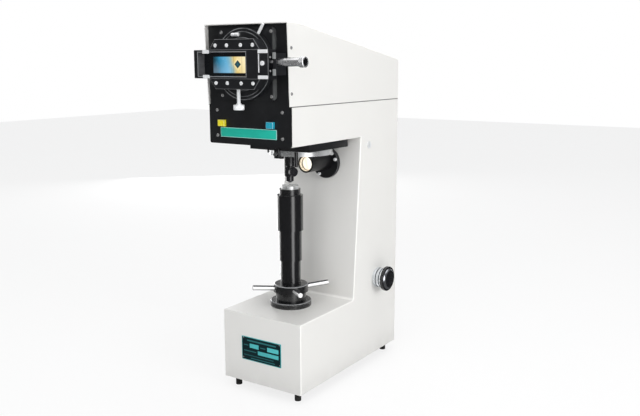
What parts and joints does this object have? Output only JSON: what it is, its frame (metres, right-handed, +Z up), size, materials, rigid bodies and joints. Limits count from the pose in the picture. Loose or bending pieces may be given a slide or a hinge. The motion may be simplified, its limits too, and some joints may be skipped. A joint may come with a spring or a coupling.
{
  "type": "hardness tester",
  "caption": "Bench-top optical hardness tester: C-shaped housing with a hand-raised anvil, swivelling indenter turret, lamp house and turning projection screen.",
  "frame": {"origin": "on the bench, at the centre of the four feet", "axes": "+Z up, -Y towards the operator, +X to the operator's right, where the load selector is"},
  "size_m": [0.3242, 0.59, 0.9468],
  "materials": {
    "body_paint": "satin off-white paint",
    "dark_paint": "semi-gloss black paint",
    "chrome": "polished chrome",
    "steel": "turned steel",
    "dark_steel": "blued steel",
    "aluminium": "machined aluminium",
    "black_anodised": "black anodised",
    "iron": "plain cast iron",
    "yellow_plastic": "gloss yellow",
    "blue_plastic": "gloss blue",
    "black_plastic": "matte black",
    "rubber": "matte black rubber",
    "glass": "clear glass",
    "screen": "ground glass screen",
    "mirror": "silvered",
    "lamp": "frosted lamp glass"
  },
  "bodies": {
    "housing": {"base_flange": "dark_steel", "base_plate": "steel", "bezel_plate": "dark_paint", "dashpot_cylinder": "aluminium", "detent_block": "dark_steel", "drive_motor": "black_anodised", "fixing_screws": "chrome", "front_panel": "dark_paint", "lamp_bulb": "lamp", "lamp_drum": "dark_paint", "lamp_lens": "glass", "lamp_tube": "black_anodised", "levelling_feet": "rubber", "lever_bracket": "iron", "main_housing": "body_paint", "mirror_post": "aluminium", "projection_mirror": "mirror", "rear_cover": "body_paint", "selector_dial": "aluminium", "transformer": "iron", "turret_plate": "dark_paint", "upper_cover": "body_paint"},
    "capstan": {"capstan_hub": "dark_paint", "capstan_spokes": "chrome", "dust_sleeve_inner": "dark_steel"},
    "anvil_stack": {"elevating_screw": "steel", "anvil_seat": "dark_steel", "anvil": "steel", "dust_sleeve_outer": "dark_steel"},
    "middle_sleeve": {"dust_sleeve_middle": "dark_steel"},
    "turret": {"turret_disc": "aluminium", "turret_handle": "chrome", "indenter_holder": "steel", "objective": "black_anodised"},
    "indenter": {"indenter_spindle": "dark_steel", "diamond_indenter": "dark_steel"},
    "clamp_screw": {"indenter_clamp_screw": "dark_steel"},
    "detent": {"detent_plunger": "chrome"},
    "screen": {"screen_ring": "dark_paint", "ring_lever": "chrome", "guide_rails": "dark_paint", "rail_screws": "chrome", "micrometer_bracket": "dark_paint", "micrometer_sleeve": "chrome"},
    "screen_slide": {"slide_frame": "dark_paint", "screen_glass": "screen", "guide_blocks": "chrome"},
    "thimble": {"micrometer_thimble": "steel"},
    "zero_adjuster": {"zero_screw": "chrome"},
    "start_key": {"start_button": "yellow_plastic"},
    "lamp_key": {"lamp_button": "blue_plastic"},
    "load_selector": {"selector_knob": "black_plastic", "selector_shaft": "steel"},
    "lock": {"side_lock": "chrome"},
    "weight_stack": {"weight_hanger": "steel", "load_weights": "iron"},
    "lever": {"loading_lever": "steel"},
    "pin": {"load_pin": "steel"},
    "dashpot_piston": {"dashpot_rod": "steel"},
    "cam": {"lifting_cam": "steel"}
  },
  "joints": [
    {"name": "capstan_turn", "type": "hinge", "parent": "housing", "child": "capstan", "pos_m": [0, -0.114, 0.25], "axis": [0, 0, 1], "range_deg": [-180, 8400]},
    {"name": "anvil_lift", "type": "slide", "parent": "housing", "child": "anvil_stack", "axis": [0, 0, 1], "range_m": [-0.1401, 0.0031]},
    {"name": "sleeve_telescope", "type": "slide", "parent": "housing", "child": "middle_sleeve", "axis": [0, 0, 1], "range_m": [-0.0631, 0.0014]},
    {"name": "turret_swivel", "type": "hinge", "parent": "housing", "child": "turret", "pos_m": [0, -0.062, 0.625], "axis": [0, 0, 1], "range_deg": [0, 57]},
    {"name": "indenter_stroke", "type": "slide", "parent": "turret", "child": "indenter", "axis": [0, 0, 1], "range_m": [0, 0.0012], "stiffness_N_per_m": 800, "springref_m": -0.0015},
    {"name": "clamp_screw_turn", "type": "hinge", "parent": "indenter", "child": "clamp_screw", "pos_m": [0, -0.114, 0.575], "axis": [0.9063, -0.4226, 0], "range_deg": [0, 360]},
    {"name": "detent_pull", "type": "slide", "parent": "housing", "child": "detent", "axis": [0, -1, 0], "range_m": [0, 0.004], "stiffness_N_per_m": 500, "springref_m": -0.002},
    {"name": "screen_turn", "type": "hinge", "parent": "housing", "child": "screen", "pos_m": [0, -0.3, 0.852], "axis": [0, -1, 0], "range_deg": [0, 90]},
    {"name": "screen_traverse", "type": "slide", "parent": "screen", "child": "screen_slide", "axis": [1, 0, 0], "range_m": [-0.012, 0.012]},
    {"name": "micrometer_turn", "type": "hinge", "parent": "screen_slide", "child": "thimble", "pos_m": [0.16, -0.3223, 0.857], "axis": [1, 0, 0], "range_deg": [-4325, 4325]},
    {"name": "zero_turn", "type": "hinge", "parent": "screen", "child": "zero_adjuster", "pos_m": [0, -0.317, 0.78], "axis": [0, 0, 1], "range_deg": [-360, 360]},
    {"name": "start_press", "type": "slide", "parent": "housing", "child": "start_key", "axis": [0, 1, 0], "range_m": [0, 0.003], "stiffness_N_per_m": 500, "springref_m": -0.001},
    {"name": "lamp_press", "type": "slide", "parent": "housing", "child": "lamp_key", "axis": [0, 1, 0], "range_m": [0, 0.003], "stiffness_N_per_m": 500, "springref_m": -0.001},
    {"name": "load_select", "type": "hinge", "parent": "housing", "child": "load_selector", "pos_m": [0.125, 0.135, 0.2495], "axis": [1, 0, 0], "range_deg": [0, 324]},
    {"name": "lock_turn", "type": "hinge", "parent": "housing", "child": "lock", "pos_m": [0.125, 0.082, 0.6345], "axis": [1, 0, 0], "range_deg": [0, 90]},
    {"name": "load_lowering", "type": "slide", "parent": "housing", "child": "weight_stack", "axis": [0, 0, 1], "range_m": [-0.0115, 0]},
    {"name": "lever_tilt", "type": "hinge", "parent": "housing", "child": "lever", "pos_m": [0, -0.146, 0.706], "axis": [1, 0, 0], "range_deg": [-2.04, 0.01]},
    {"name": "load_pin_stroke", "type": "slide", "parent": "housing", "child": "pin", "axis": [0, 0, 1], "range_m": [-0.00115, 0]},
    {"name": "dashpot_stroke", "type": "slide", "parent": "housing", "child": "dashpot_piston", "axis": [0, 0, 1], "range_m": [-0.00831, 0]},
    {"name": "cam_turn", "type": "hinge", "parent": "housing", "child": "cam", "pos_m": [0, 0.178, 0.2873], "axis": [1, 0, 0], "range_deg": [0, 180]}
  ],
  "couplings": [
    {"joint": "anvil_lift", "follows": "capstan_turn", "m_per_rad": -0.00095493},
    {"joint": "sleeve_telescope", "follows": "capstan_turn", "m_per_rad": -0.00042972},
    {"joint": "micrometer_turn", "follows": "screen_traverse", "rad_per_m": 6283.2},
    {"joint": "lever_tilt", "follows": "load_lowering", "rad_per_m": 3.0864},
    {"joint": "load_pin_stroke", "follows": "load_lowering", "ratio": 0.09877},
    {"joint": "dashpot_stroke", "follows": "load_lowering", "ratio": 0.72222},
    {"joint": "cam_turn", "follows": "load_lowering", "rad_per_m": -273.1}
  ]
}
